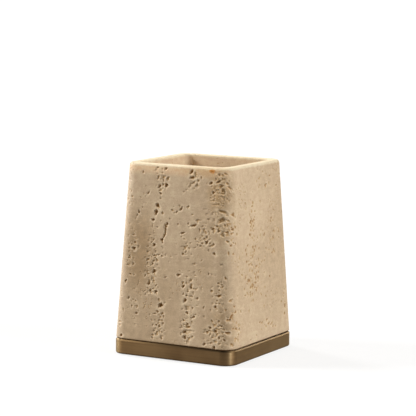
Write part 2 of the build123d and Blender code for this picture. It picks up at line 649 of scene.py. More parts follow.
@dataclass(frozen=True)
class Rubber:
    """Matte black rubber with a fine moulded grain."""

    name: str
    tint: Colour = srgb(36, 33, 30)
    dust: Colour = srgb(62, 58, 53)
    grain_scale: float = 2600.0
    grain_depth: float = 0.03 * MM
    grain_span: Span = (0.2, 0.8)
    dust_scale: float = 160.0
    dust_span: Span = (0.45, 0.8)
    dust_share: float = 0.7
    roughness: Span = (0.72, 0.9)
    gloss: float = 0.5

    def material(self) -> bpy.types.Material:
        """Builds the material.

        Returns:
            The material.
        """
        bench = NodeBench(self.name)
        grain = bench.cloud(self.grain_scale, detail=2.0)
        dusty = bench.span(bench.cloud(self.dust_scale, detail=5.0), self.dust_span, (0.0, self.dust_share))
        return bench.finished(
            {
                "Base Color": bench.blend(dusty, self.tint, self.dust),
                "Roughness": bench.span(grain, self.grain_span, self.roughness),
                "Specular IOR Level": self.gloss,
                "Normal": bench.relief(grain, self.grain_depth),
            }
        )


@dataclass(frozen=True)
class TurnedMetal:
    """Bright fastener metal with fine turning marks along its length."""

    name: str
    tint: Colour
    shade: Colour
    mark_scale: float = 4000.0
    mark_stretch: Triple = (0.05, 0.05, 1.0)
    mark_depth: float = 0.01 * MM
    mark_span: Span = (0.2, 0.8)
    cloud_scale: float = 400.0
    cloud_span: Span = (0.35, 0.75)
    roughness: Span = (0.22, 0.4)

    def material(self) -> bpy.types.Material:
        """Builds the material.

        Returns:
            The material.
        """
        bench = NodeBench(self.name)
        marks = bench.cloud(self.mark_scale, detail=2.0, stretch=self.mark_stretch)
        cloudy = bench.span(bench.cloud(self.cloud_scale, detail=4.0), self.cloud_span)
        return bench.finished(
            {
                "Base Color": bench.blend(cloudy, self.tint, self.shade),
                "Metallic": 1.0,
                "Roughness": bench.span(marks, self.mark_span, self.roughness),
                "Normal": bench.relief(marks, self.mark_depth),
            }
        )


# Pits in the stone


class Face(Enum):
    """The cup's side faces, as quarter turns about Z from the front face."""

    FRONT = 0
    RIGHT = 1
    BACK = 2
    LEFT = 3

    def turn(self, point: Vector) -> Vector:
        """Turns a point or direction from the front face to this one."""
        return Matrix.Rotation(self.value * math.pi / 2, 3, "Z") @ point


class Sink(Enum):
    """How a pit is sunk: its depth as a share of its width, how brown it is and how pale its lip is."""

    DEEP = (0.5, 1.0, 1.0)
    OPEN = (0.34, 0.76, 0.76)
    FAINT = (0.2, 0.38, 0.38)
    FRECKLE = (0.18, 1.0, 0.15)
    SMEAR = (0.13, 0.72, 0.1)


@dataclass(frozen=True)
class Gouge:
    """One hole in a side face, in millimetres and degrees.

    Across is measured to the right of the face's middle line as seen from outside, height from the desk,
    and lean from the horizontal. Length and width are those of the hole's dark core.
    """

    across: float
    height: float
    long: float = 1.4
    wide: float = 1.0
    lean: float = 0.0

    def upended(self, ends: float) -> "Gouge":
        """The same hole on a face turned upside down, whose top and foot heights add up to a sum."""
        return Gouge(self.across, ends - self.height, self.long, self.wide, -self.lean)


PitRows = dict[Sink, tuple[tuple[float, ...], ...]]

# Each row is one Gouge: across and height, and then length, width and lean where they matter

FRONT_PITS: PitRows = {
    Sink.DEEP: (
        (-10, 102.6, 1.2, 1.2), (-11, 107, 2.6, 1.4, 80), (-6.2, 107.9, 2.4, 1.8, -20),
        (-11.7, 94.8, 4.2, 1.7, 122), (11.2, 117.3, 3, 1.5, 40), (12, 113.7, 3.2, 1.6, -15),
        (30, 112.3, 2.8, 1.5, 30), (25, 111.2, 2.4, 1.3, 10), (27, 105.5, 2.2, 1.1, 40),
        (4.7, 94.2, 2.8, 1.2, 42), (-25.2, 90.2, 1.8, 1.3, 110), (-13, 90.8, 3, 2.2, 90),
        (-14.8, 86.2, 1.9, 1.5, 140), (-4.9, 84.2, 2, 1.2, 68), (-5.6, 82.4, 2.6, 1.2, 70),
        (-5.9, 80.4, 2.2, 1.3, 98), (-5.8, 78.6, 2, 1.2, 80), (-6.7, 76.8, 2.6, 1.2, 57),
        (-8.1, 74.2, 2.4, 1.6, 50), (-7.7, 72.7, 1.4, 1, 125), (-13.5, 70.7, 2.4, 1.3, 15),
        (-27.9, 67.5, 2, 2), (-17.8, 61.4, 1.8, 1.1, 20), (6.5, 79.6, 2.8, 1, 20), (7.3, 66.6, 2.2, 0.9),
        (14.2, 84.8, 4.2, 1.3, 28), (27.5, 83.5, 2.4, 1.3, -10), (31.4, 82.6, 2, 1.1, 25),
        (23.3, 75, 2.6, 1.4, 40), (29, 68.4, 2.2, 1.2, -15), (-33.3, 46.7, 2, 1.2, 50),
        (-30.6, 36.5, 1.5, 1.1, 20), (-14.3, 58.9, 1.2, 1), (-13, 54.2, 2.6, 1.8, 15),
        (-16.4, 46.6, 2.2, 1.6, 50), (-15.2, 42.3, 1.9, 1.3, 40), (-11.4, 41.9, 2, 1.6, 30),
        (-7.5, 33.7, 4, 2.2, 35), (4.6, 53.6, 2.4, 1.4, 5), (8, 46.9, 1.6, 1.4), (13.5, 46.5, 1.6, 1.3, 20),
        (10.7, 41.5, 1.5, 1, 20), (9.6, 38.4, 3.2, 1.4, 65), (33.2, 43.3, 4.2, 1.3, 12),
        (31, 36.4, 1.8, 1.5, 20), (-37.5, 20.9, 3, 0.9, 10), (-35.4, 12.5, 2, 1.5, 60),
        (-9.5, 29.8, 1.6, 1.2), (-9.9, 21.5, 1.6, 0.9), (-7.8, 20.6, 1.8, 1, 20), (11.5, 30.8, 1.9, 1.5),
        (16.1, 28.8, 1.6, 1.3), (9.4, 26.2, 1.5, 1.2, -30), (12.2, 24, 2.5, 1, -45), (13, 22.3, 3, 1.3, 20),
        (10.3, 19, 2.4, 1.4, 15), (10.5, 15.4, 2.2, 1.6, -30), (24.2, 13, 1.6, 1.4), (27.9, 23.3, 1.4, 1.4),
        (26, 20.5, 2.2, 1.2, 10), (31.8, 21.4, 2.4, 1.3, -20), (35.5, 25, 1.2, 1),
        (34.1, 17.6, 1.4, 1.2, 60), (37.5, 16.7, 1.6, 1.1, -60), (39.6, 20.8, 2.6, 1.8, -30),
        (31, 11.5, 2.2, 1.4, 30),
    ),
    Sink.OPEN: (
        (31.7, 109.5, 2.6, 1.8, 30), (34, 94, 5.2, 1.6, -12), (33, 89, 4.5, 3, 30), (-23, 115, 1.5, 1),
        (-18.8, 102.5, 2.2, 1.1, 35), (-12, 112.5, 2.5, 1.2, 95), (-5.4, 111.9, 2.4, 1.4, 100),
        (-6.8, 118.2, 2.2, 1.2, 60), (-12.7, 118.4, 1.6, 1), (14, 114.5, 2, 1, 100),
        (16.2, 112, 1.8, 1.2, 30), (15.2, 109.3, 2, 1.2, 80), (30.4, 116.5, 2.2, 1, 90),
        (28.3, 113.7, 1.3, 0.8, 90), (33, 106.8, 2.4, 2, 60), (33.2, 104.8, 1.2, 0.8),
        (30.3, 105.2, 1.2, 0.8), (34.3, 117, 3, 1, -10), (37.8, 108.3, 4, 1.3, -25), (39.2, 92.4, 1.6, 1),
        (27.5, 100.6, 7, 0.5), (29.2, 98.3, 5.5, 0.6), (-26.4, 88.2, 1.6, 0.8, 60),
        (-8.2, 90.6, 2.4, 1, 110), (-28.2, 76, 1.6, 1, -10), (-14, 74, 1.6, 0.9, 20),
        (-15.2, 72.3, 1.5, 0.9, 20), (-18, 69.5, 1.5, 0.8, 20), (-17.5, 66.3, 1.4, 0.8, -20),
        (-30.8, 61.5, 1.6, 1.4), (-11, 61.4, 2.4, 1.3, -20), (-12.3, 62.8, 1.2, 0.8), (7.8, 75.9, 1.6, 0.8),
        (8, 70.4, 1.3, 0.7), (11.4, 70.6, 1.7, 0.9), (15.3, 61.2, 1.4, 0.9), (17.3, 88, 3.5, 1, 10),
        (18.3, 82, 2.5, 1, 90), (21.4, 82, 3.5, 1, 100), (30.3, 85.3, 1.4, 1.4), (34.9, 86, 1.5, 1, 90),
        (36, 82, 5, 0.8, -5), (22, 77, 2.5, 1), (20.5, 74.3, 1.4, 1), (19.6, 72.5, 1.4, 1.1),
        (26.5, 73.3, 1.6, 1, 40), (36.8, 76.5, 1.8, 1.1, -35), (-28, 57.8, 1.4, 0.9, 20),
        (-29.6, 51.2, 1.8, 1, 10), (-13, 56.6, 1.6, 0.7), (-17, 52.6, 2, 1, 15), (-13.1, 48.4, 1.4, 1.3),
        (-11, 46, 1.4, 1), (-13, 43.6, 1.8, 0.7, 30), (-16.8, 43.6, 1.5, 0.8, -40), (-8.8, 37, 2, 1, 110),
        (7.8, 49.1, 1.5, 1.2), (13.7, 51.5, 1, 0.9), (16.4, 54.3, 1.4, 0.8), (17.6, 46.3, 1.1, 0.8),
        (8.4, 42.3, 1.4, 1, 90), (14.4, 41.2, 1.4, 0.9, 10), (18.3, 40.3, 1.4, 1.2),
        (18.4, 36.2, 1.6, 0.7, 15), (22.9, 35.3, 1.9, 1.1, 60), (12, 35, 4.5, 0.7, 5),
        (15.2, 34.2, 1.6, 0.8, -30), (28, 45.8, 2, 1.3, 20), (25.6, 56, 1.3, 0.9, 90),
        (32.8, 50.8, 1.8, 0.9), (36.8, 54, 1.8, 1.4), (32, 40.2, 1.4, 1), (33.8, 38.6, 1.6, 1.1, -20),
        (40.6, 40.3, 2, 1.6, 90), (42.3, 33, 1.5, 0.9), (-24.4, 31.4, 1.2, 1.2),
        (-24.5, 27.4, 1.6, 1.2, 10), (-37, 18.7, 1.6, 1.1, 10), (-11, 28.3, 2.4, 0.9, -5),
        (-6, 28.9, 1.8, 1.4), (-7.2, 26.5, 1.6, 1, -15), (-8, 24.5, 1.8, 0.9, 30), (-5.3, 22.8, 1.4, 1.1),
        (-12.5, 21.3, 1, 1), (-12.4, 14.8, 1.6, 1.2), (-12.7, 13, 1.2, 0.9), (-6, 13.4, 1.4, 1.2, 90),
        (17.5, 30.4, 1.2, 0.9), (13.7, 15.2, 2, 1.2, -20), (15.6, 16.3, 2, 1, 100), (29, 27.5, 1.2, 1.2),
        (33.8, 27.8, 1.6, 1.1), (34, 22.7, 1.4, 0.9, -20), (37, 23, 1.2, 1), (33, 19.9, 1.4, 0.7),
        (36.6, 18.5, 1.2, 0.8), (39.2, 28.7, 2.4, 1.5, -40), (27.2, 15.4, 1, 0.7),
        (29.2, 14.2, 2.6, 0.9, 5), (34.8, 14.2, 1.6, 0.9, 20), (23.5, 29.8, 1.4, 0.8, 90),
    ),
    Sink.FAINT: (
        (-9, 105.5), (-6.6, 105.5, 1, 0.7), (-13.7, 116.9, 1.6, 1.2), (-9.3, 117.6, 1.2, 0.8, -20),
        (-7.6, 112.9, 1.5, 1), (16.4, 114.5), (10, 107.7), (8.5, 106), (22.3, 110.8), (33, 113.5, 2.5, 1.5),
        (36.5, 112.5), (28, 103.5, 1.4, 0.9), (25, 102.3), (33.5, 102.8, 1.6, 1), (35.6, 102),
        (21.5, 95, 3, 0.8), (29, 93.6, 2.5, 1), (22.5, 92), (-27.2, 86.3, 1.6, 0.8, 60),
        (-15, 82.6, 2, 1, 90), (-31.6, 82.7, 1.6, 1), (-2.8, 87.5), (-7.1, 69.1, 2, 0.8, 90),
        (-27.3, 74, 1.4, 0.7), (-16.2, 68.3, 1.5, 0.8, -20), (-31.6, 70), (-29.2, 70), (-30.9, 67.3),
        (-31.2, 65.3), (-12, 66.5), (-16.5, 63.5), (-19.5, 62.5), (-16.5, 76.5), (-17.5, 73),
        (8, 78, 1.2, 0.6), (6.5, 71.3), (13.2, 66.8), (11.2, 63.8), (11, 83.3), (24.8, 81.5),
        (24.6, 89, 1.8, 1.4), (39.5, 83.2), (17.5, 73), (16.8, 74.8), (25.2, 70.2), (39, 74, 2, 0.7, -40),
        (34, 62), (-31.1, 56.8), (-26.5, 42.3), (-17.5, 58.3), (-10.3, 58.5), (-19, 51.5), (-14, 50),
        (-19.5, 41.5), (-18.5, 39.2), (-9.5, 44.5), (-4.4, 35.6), (7, 55.2, 1.2, 0.6), (15.4, 43.7),
        (8, 33), (14.3, 32.6), (28, 55.6), (35.7, 37.8, 1.8, 1.2, 90), (28, 34), (12, 33.4, 4, 2.4),
        (-25.2, 20.1), (-14.8, 27.4), (-9.5, 23.4), (-10.3, 18.8), (-8.6, 12.7), (7.4, 25.2),
        (13.4, 19.8, 4.5, 2), (12.6, 12.9, 3, 1.8), (15, 24.9), (7.5, 21.3), (30, 18.5), (39.3, 13.8),
        (41.5, 13),
    ),
}

RIGHT_PITS: PitRows = {
    Sink.DEEP: (
        (11.5, 106.7, 1.6, 1.2), (-33.3, 83.2, 1.6, 1.2), (-37, 82, 1.6, 1.3), (-37, 76.3, 1.7, 1.2),
        (-35, 73.8, 1.6, 1.2), (-20.7, 41.3, 1.5, 1.1), (-39, 28.7, 1.7, 1.3), (-30.3, 21.8, 2.2, 1.3, -20),
        (-39.5, 21, 1.6, 1.2),
    ),
    Sink.OPEN: (
        (7.5, 115, 1.6, 1, -20), (-33, 92.3), (-30, 90.5), (-5.5, 88), (-10.5, 88.5), (-33, 81.2),
        (-33.3, 75.2), (21.5, 79.3, 1.4, 1, -20), (24.5, 78), (-2.5, 75), (26, 71.8), (-12, 63),
        (-10.8, 58.8, 2, 1.5), (-13.8, 59.5), (1.6, 59, 1.6, 0.9, 90), (-24.5, 54.7),
        (-2.5, 53.3, 1.4, 0.9, -20), (5, 52.3, 1.4, 0.9, 20), (-4, 48), (-6.3, 44), (-30.7, 42.6),
        (-36.5, 41), (-35, 33), (-27.5, 32.5, 2, 1.5), (-34, 16.8, 2.6, 1.1), (-37.7, 13), (-16, 13),
        (-8.2, 14.8), (6.2, 22, 2.4, 1.8), (11, 18.3, 1.8, 1, -20), (17.5, 16.5, 1.8, 1, -25), (30, 33.6),
        (31.3, 37.8), (41.5, 31.7),
    ),
    Sink.FAINT: (
        (0.5, 117), (3.5, 116.5), (-7, 103.7), (-10.5, 99), (30, 101.5), (-23.5, 96.5), (-26, 93),
        (-17, 94), (-20.5, 91), (-5.5, 91.5), (20.5, 87.3), (27.5, 87.8), (-10.3, 84), (-6.5, 84.3),
        (-6, 80.2), (-8, 75.5), (-8.5, 71.5), (17.5, 71), (34.2, 70, 5.5, 0.6), (-31, 66.3), (-28, 62.5),
        (-5, 61.5), (-21.5, 55.5), (-13.5, 51.5), (34.5, 61, 7, 0.6), (-13.3, 36.7), (-32.5, 33.9),
        (-23.3, 34.5), (-36, 28), (-32.5, 28.5), (-31, 13.5), (-16.5, 23.8), (39.8, 36.3), (10.8, 31),
        (37, 21.5, 8, 0.6),
    ),
}


@dataclass(frozen=True)
class Patch:
    """An oval part of a side face, in millimetres from its middle line and the desk."""

    across: float
    height: float
    half_across: float
    half_height: float


@dataclass(frozen=True)
class Bed(Patch):
    """A worn part, crowded with shallow hollows."""

    hollows: int

    def tinted(self, strength: float) -> "Shade":
        """The tint that a bed's hollows give the stone between them."""
        return Shade(self.across, self.height, self.half_across, self.half_height, strength)


@dataclass(frozen=True)
class Shade(Patch):
    """A part of the front face that a tint is laid on, softly towards its edge."""

    strength: float


FRONT_BEDS = (
    Bed(-10, 110, 6, 9, 26), Bed(13, 111, 6, 8, 30), Bed(31, 104, 7, 15, 70), Bed(32, 85, 8, 8, 40),
    Bed(21, 80, 8, 10, 50), Bed(9, 72, 4, 10, 16), Bed(-14, 50, 6, 15, 60), Bed(-9, 22, 6, 12, 36),
    Bed(12, 46, 7, 12, 34), Bed(12, 22, 6, 11, 60), Bed(32, 21, 10, 11, 80), Bed(33, 44, 6, 12, 26),
    Bed(-29, 66, 4, 16, 16), Bed(-30, 30, 8, 18, 16),
)
RIGHT_BEDS = (
    Bed(-34, 80, 6, 14, 18), Bed(-9, 78, 5, 24, 34), Bed(-13, 53, 16, 24, 60), Bed(-34, 26, 7, 15, 26),
    Bed(8, 20, 14, 9, 18), Bed(33, 30, 8, 12, 18), Bed(22, 78, 9, 12, 14), Bed(8, 110, 12, 7, 10),
)

# Tints of the front face, under the names the cup's mesh carries them by: a stain, painted shade with
# staining, a painted rim highlight and ochre

BED_TINT = 0.32
TINTS: dict[str, tuple[Shade, ...]] = {
    "stain": (Shade(25.6, 118.4, 1.9, 1.3, 1.0),),
    # Painted shade over the lower front, darker patches at the middle left and the corner, and brown staining
    # round each bed.
    "shade": (
        Shade(-24, 64, 12, 26, 1.0), Shade(-16, 28, 36, 47, 0.42), Shade(36, 24, 9, 14, 0.7),
        Shade(33, 106, 7, 14, 0.55), *(bed.tinted(BED_TINT) for bed in FRONT_BEDS),
    ),
    # Painted highlight: a paler band along the top of the front face, under the rim.
    "painted_rim_highlight": (Shade(-2, 118.8, 62, 3.6, 0.9),),
    "ochre": (Shade(30, 107, 6, 11, 0.55), Shade(21, 117.8, 15, 3, 0.4), Shade(33, 84, 5, 9, 0.2)),
}


@dataclass(frozen=True)
class FacePlan:
    """What a side face holds: its pits one by one, its beds, and how the beds' hollows are drawn.

    Widths are the least, the greatest and the likeliest, in millimetres. Leans are the mean and the spread,
    in radians.
    """

    pits: PitRows
    beds: tuple[Bed, ...]
    sinks: tuple[Sink, ...]
    widths: Triple
    leans: Span


FRONT_PLAN = FacePlan(FRONT_PITS, FRONT_BEDS, (Sink.OPEN, Sink.OPEN, Sink.FAINT), (0.6, 2.1, 0.9), (0.3, 0.8))
RIGHT_PLAN = FacePlan(RIGHT_PITS, RIGHT_BEDS, (Sink.FRECKLE, Sink.SMEAR), (0.8, 2.4, 1.9), (1.3, 0.6))


@dataclass
class Pit:
    """One worked-out pit: where it opens in the stone and the shape of its mouth."""

    place: Vector
    normal: Vector
    along: Vector
    lean: float
    half_long: float
    half_wide: float
    depth: float
    brown: float
    lip: float
    lobes: tuple[float, ...]

    def offsets(self, points: np.ndarray) -> tuple[np.ndarray, np.ndarray, np.ndarray]:
        """Measures places from the pit's middle.

        Args:
            points: The places, one in a row.

        Returns:
            How far they lie along the pit's mouth, across it and out of the stone.
        """
        offset = points - np.array(self.place)
        ways = (self.along, self.normal.cross(self.along), self.normal)
        along, across, out = (offset @ np.array(way) for way in ways)
        return along, across, out


class PitField:
    """All pits of the cup, and how deep they go at any place on its surface."""

    LOBES = ((2, 0.18), (3, 0.15), (5, 0.1))
    WARP_SCALE = 620.0
    WARP = 0.25 * MM
    THROUGH = 2.5 * MM
    WALL = 0.68
    RUN_OUT = 0.36
    RUN_OUT_WAY = (0.75, -0.66)
    LIP = 0.4
    FULL_BROWN = 2.2 * MM
    LEAST_BROWN = 0.5
    DEPTHS = (0.85, 1.15)

    def __init__(self, seed: int) -> None:
        """Starts an empty field.

        Args:
            seed: What the random draws and the warp of the pits' edges follow. It isn't 0.
        """
        noise.seed_set(seed)
        self.draw = random.Random(seed)
        self.pits: list[Pit] = []

    def open(self, place: Vector, normal: Vector, long: float, wide: float, lean: float, sink: Sink) -> None:
        """Opens a pit.

        Args:
            place: A point on the surface.
            normal: The direction out of the surface there.
            long: Length of the pit's mouth.
            wide: Width of the pit's mouth.
            lean: How far the mouth is turned from the horizontal, in radians.
            sink: How deep and how brown the pit is.
        """
        out = normal.normalized()
        level_way = Vector((1.0, 0.0, 0.0)) if out.z > UPRIGHT else UP.cross(normal)
        along = Matrix.Rotation(lean, 3, normal) @ level_way.normalized()
        steep, brown, lip = sink.value
        depth = wide * steep * self.draw.uniform(*self.DEPTHS)
        lobes = tuple(self.draw.uniform(0.0, 2 * math.pi) for _ in self.LOBES)
        strength = min(1.0, self.LEAST_BROWN + (1 - self.LEAST_BROWN) * wide / self.FULL_BROWN)
        mouth = (long / 2, wide / 2)
        self.pits.append(Pit(place, out, along, lean, *mouth, depth, brown * strength, lip * strength, lobes))

    def near(self, levels: np.ndarray, order: np.ndarray, pit: Pit, margin: float) -> np.ndarray:
        """Finds the places that are level with a pit.

        Args:
            levels: The heights of all places, from the lowest up.
            order: The rows of the places in that order.
            pit: The pit.
            margin: How far above or below the pit's mouth a place may be.

        Returns:
            The rows of the places that were found.
        """
        reach_up = pit.half_long + margin
        first, last = np.searchsorted(levels, (pit.place.z - reach_up, pit.place.z + reach_up))
        return order[first:last]

    def touches(self, points: np.ndarray, margins: np.ndarray) -> np.ndarray:
        """Says which points lie in a pit, or within their own margin of one.

        Args:
            points: Places on the unpitted surface, one in a row.
            margins: The margin of each place.

        Returns:
            Whether each place does.
        """
        found = np.zeros(len(points), bool)
        order = np.argsort(points[:, 2])
        levels = points[order, 2]
        for pit in self.pits:
            here = self.near(levels, order, pit, margins.max())
            along, across, out = pit.offsets(points[here])
            spare = margins[here]
            inside = np.hypot(along / (pit.half_long + spare), across / (pit.half_wide + spare)) < 1
            found[here] |= inside & (np.abs(out) < self.THROUGH)
        return found

    def measure(self, points: np.ndarray) -> tuple[np.ndarray, np.ndarray, np.ndarray]:
        """Works out how deep and how brown the pits are.

        Args:
            points: Places on the unpitted surface, one in a row.

        Returns:
            The depth at each place, in metres, how brown it is and how near it is to a lip, from 0 to 1.
        """
        depth, brown, lip = (np.zeros(len(points)) for _ in range(3))
        warp = [noise.noise_vector(Vector(point) * self.WARP_SCALE) for point in points]
        moved = points + self.WARP * np.array(warp)
        order = np.argsort(points[:, 2])
        levels = points[order, 2]
        for pit in self.pits:
            here = self.near(levels, order, pit, pit.half_long + 2 * self.WARP)
            along, across, out = pit.offsets(moved[here])
            along, across = along / pit.half_long, across / pit.half_wide
            angle = np.arctan2(across, along)
            waves = zip(self.LOBES, pit.lobes)
            mouth = 1 + sum(size * np.sin(count * angle + turn) for (count, size), turn in waves)
            edge = 1 - np.hypot(along, across) / mouth
            edge[np.abs(out) > self.THROUGH] = -1
            right = along * pit.half_long * math.cos(pit.lean) - across * pit.half_wide * math.sin(pit.lean)
            up = along * pit.half_long * math.sin(pit.lean) + across * pit.half_wide * math.cos(pit.lean)
            toward = (right * self.RUN_OUT_WAY[0] + up * self.RUN_OUT_WAY[1]) / (np.hypot(right, up) + TOUCH)
            inside = np.clip(edge / (self.WALL + self.RUN_OUT * toward), 0, 1)
            hollow = inside * inside * (3 - 2 * inside)
            depth[here] = np.maximum(depth[here], pit.depth * hollow)
            brown[here] = np.maximum(brown[here], pit.brown * hollow)
            crest = np.clip(1 - np.abs(edge + 0.5 * self.LIP) / self.LIP, 0, 1)
            lip[here] = np.maximum(lip[here], pit.lip * crest)
        return depth, brown, lip


# The stand's pieces


def dress(piece: bpy.types.Object, material: bpy.types.Material, node: str) -> None:
    """Gives a modelled piece its finish and its place in the frame.

    Args:
        piece: The modelled piece.
        material: Its finish.
        node: The CAD node that the piece replaces.
    """
    piece.data.materials.clear()
    piece.data.materials.append(material)
    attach(piece, BODY)
    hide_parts(node)
    log.info("%s: %d triangles", piece.name, triangles(piece))


def fastener_axes(out: float, height: float) -> list[Vector]:
    """Where the four fasteners' axes cross a height, as far out from the middle along X as along Y."""
    return [face.turn(Vector((out, -out, height))) for face in Face]


@dataclass
class StoneCup:
    """The tapered travertine cup, with its rolled rim, deep pocket and open pits."""

    low: Vector
    high: Vector
    rim_side: float = 73.2 * MM
    corner_radius: float = 8.5 * MM
    rim_wall: float = 6.0 * MM
    floor_thickness: float = 14.0 * MM
    pocket_draft: float = math.radians(1.0)
    pocket_corner_radius: float = 5.0 * MM
    pocket_floor_round: float = 4.0 * MM
    rim_outer_round: float = 1.75 * MM
    rim_inner_round: float = 1.0 * MM
    arris: float = 0.3 * MM
    insert_radius: float = 3.2 * MM
    insert_depth: float = 8.5 * MM
    fastener_inset: float = 9.35 * MM
    corner_segments: int = 10
    rim_outer_segments: int = 6
    rim_inner_segments: int = 4
    floor_segments: int = 6
    arris_segments: int = 2
    bore_sides: int = 32
    smooth_below: float = math.radians(65.0)
    grid: float = 1.4 * MM
    pocket_grid: float = 3.0 * MM
    pit_divisions: int = 2
    pit_reach: float = 0.8
    mouth_scale: float = 1.2
    mouth_spare: float = 0.4 * MM
    specks_on_face: int = 60
    specked_half_mm: Span = (34, 50)
    clear_of_foot_mm: float = 1.5
    clear_of_rim_mm: float = 2.5
    hollow_stretch: Span = (1.0, 1.9)
    rim_pits: int = 34
    rim_scatter_mm: Span = (-1.2, 1.2)
    rim_pit_mm: Span = (0.5, 1.1)
    rim_pit_stretch: Span = (1.0, 1.6)
    pocket_pits: int = 60
    pocket_pit_mm: Span = (0.8, 2.2)
    pocket_pit_stretch: float = 1.4
    stained_pit: Gouge = Gouge(25.6, 118.0, 2.2, 1.1, 25)
    tint_edge: float = 1.5
    seed: int = 11

    @property
    def half_foot(self) -> float:
        """Half the cup's side where it stands on the base."""
        return self.high.x

    @property
    def floor(self) -> float:
        """Height of the pocket's floor."""
        return self.low.z + self.floor_thickness

    @property
    def mouth_side(self) -> float:
        """The pocket's side at the rim."""
        return self.rim_side - 2 * self.rim_wall

    def half_at(self, height: float) -> float:
        """Half the cup's side at a height."""
        share = (height - self.low.z) / (self.high.z - self.low.z)
        return self.half_foot + share * (self.rim_side / 2 - self.half_foot)

    def pocket_half_at(self, height: float) -> float:
        """Half the pocket's side at a height."""
        return self.mouth_side / 2 - (self.high.z - height) * math.tan(self.pocket_draft)

    def on_face(self, face: Face, across: float, height: float) -> tuple[Vector, Vector]:
        """Finds a place on a side face, which goes on round the corner.

        Args:
            face: The side face.
            across: Distance along the surface from the face's middle line.
            height: Height above the desk.

        Returns:
            The place and the direction out of the stone there.
        """
        half = self.half_at(height)
        flat = half - self.corner_radius
        angle = max(abs(across) - flat, 0.0) / self.corner_radius
        side = math.copysign(1.0, across)
        normal = Vector((side * math.sin(angle), -math.cos(angle), 0.0))
        along = across if angle == 0 else side * flat
        place = Vector((along, -flat, height)) + self.corner_radius * normal
        return face.turn(place), face.turn(normal)

    def plan_pits(self) -> PitField:
        """Lays out every pit on the side faces, the rim and the pocket's walls.

        Returns:
            The field of pits.
        """
        field = PitField(self.seed)
        for face in Face:
            self._pit_face(field, face)
        for _ in range(self.rim_pits):
            self._pit_rim(field)
        for _ in range(self.pocket_pits):
            self._pit_pocket(field)
        pit = self.stained_pit
        place, normal = self.on_face(Face.FRONT, pit.across * MM, pit.height * MM)
        field.open(place, normal, pit.long * MM, pit.wide * MM, math.radians(pit.lean), Sink.FAINT)
        return field

    def _pit_face(self, field: PitField, face: Face) -> None:
        """Opens one side face's pits. The back and left faces hold those of the front and right, upside down.

        Args:
            field: The field that the pits are added to.
            face: The side face.
        """
        draw = field.draw
        ends = (self.low.z + self.high.z) / MM
        turned = face in (Face.BACK, Face.LEFT)
        plan = FRONT_PLAN if face in (Face.FRONT, Face.BACK) else RIGHT_PLAN
        for sink, rows in plan.pits.items():
            for gouge in (Gouge(*row) for row in rows):
                if turned:
                    gouge = gouge.upended(ends)
                place, normal = self.on_face(face, gouge.across * MM, gouge.height * MM)
                sizes = (gouge.long, gouge.wide)
                long, wide = (size * self.mouth_scale * MM + self.mouth_spare for size in sizes)
                field.open(place, normal, long, wide, math.radians(gouge.lean), sink)
        lowest, highest = self.low.z / MM + self.clear_of_foot_mm, self.high.z / MM - self.clear_of_rim_mm
        for bed in (*plan.beds, Bed(0, ends / 2, *self.specked_half_mm, self.specks_on_face)):
            for _ in range(bed.hollows // 2 if turned else bed.hollows):
                across = draw.triangular(-1, 1) * bed.half_across + bed.across
                height = draw.triangular(-1, 1) * bed.half_height + bed.height
                if turned:
                    height = ends - height
                height = min(max(height, lowest), highest)
                place, normal = self.on_face(face, across * MM, height * MM)
                wide = draw.triangular(*plan.widths) * MM
                sink = draw.choice(plan.sinks)
                lean = draw.gauss(*plan.leans)
                field.open(place, normal, wide * draw.uniform(*self.hollow_stretch), wide, lean, sink)

    def _pit_rim(self, field: PitField) -> None:
        """Opens a small pit somewhere on the rim's top.

        Args:
            field: The field that the pit is added to.
        """
        draw = field.draw
        ring = (self.rim_side - self.rim_wall) / 2
        face = draw.choice(list(Face))
        across = draw.uniform(-ring, ring)
        place = Vector((across, -ring + draw.uniform(*self.rim_scatter_mm) * MM, self.high.z))
        wide = draw.uniform(*self.rim_pit_mm) * MM
        lean = draw.uniform(0, math.pi)
        field.open(face.turn(place), UP, wide * draw.uniform(*self.rim_pit_stretch), wide, lean, Sink.OPEN)

    def _pit_pocket(self, field: PitField) -> None:
        """Opens a pit somewhere on the pocket's walls.

        Args:
            field: The field that the pit is added to.
        """
        draw = field.draw
        face = draw.choice(list(Face))
        height = draw.uniform(self.floor + self.pocket_floor_round, self.high.z - 2 * self.rim_inner_round)
        half = self.pocket_half_at(height)
        flat = half - self.pocket_corner_radius
        place = face.turn(Vector((draw.uniform(-flat, flat), -half, height)))
        normal = face.turn(Vector((0.0, 1.0, 0.0)))
        wide = draw.uniform(*self.pocket_pit_mm) * MM
        lean = draw.uniform(0, math.pi)
        field.open(place, normal, self.pocket_pit_stretch * wide, wide, lean, Sink.OPEN)

    def build(self) -> None:
        """Models the cup and dresses it in stone."""
        cup = self._shell()
        self._bore(cup)
        self._lay_grid(cup)
        self._carve(cup)
        smooth(cup, self.smooth_below)
        dress(cup, Travertine(self.low.z, self.high.z).material(), "stone_cup")

    def _tapered(self, name: str, halves: Span, heights: Span, radius: float) -> bpy.types.Object:
        """Models a tapered block with round corners and an open top.

        Args:
            name: The object's name.
            halves: Half its side at the foot and at the top.
            heights: The heights of its foot and top.
            radius: Radius of its corners.

        Returns:
            The open shell.
        """
        (foot, top), (low, high) = halves, heights
        shell = block(name, Vector((-foot, -foot, low)), Vector((foot, foot, high)))
        with editing(shell):
            pick(shell, Pick.FACES, looks_up)
            bpy.ops.transform.resize(value=(top / foot, top / foot, 1.0), center_override=(0.0, 0.0, high))
            round_over(shell, upright, radius, self.corner_segments)
            pick(shell, Pick.FACES, looks_up)
            bpy.ops.mesh.delete(type="FACE")
        return shell

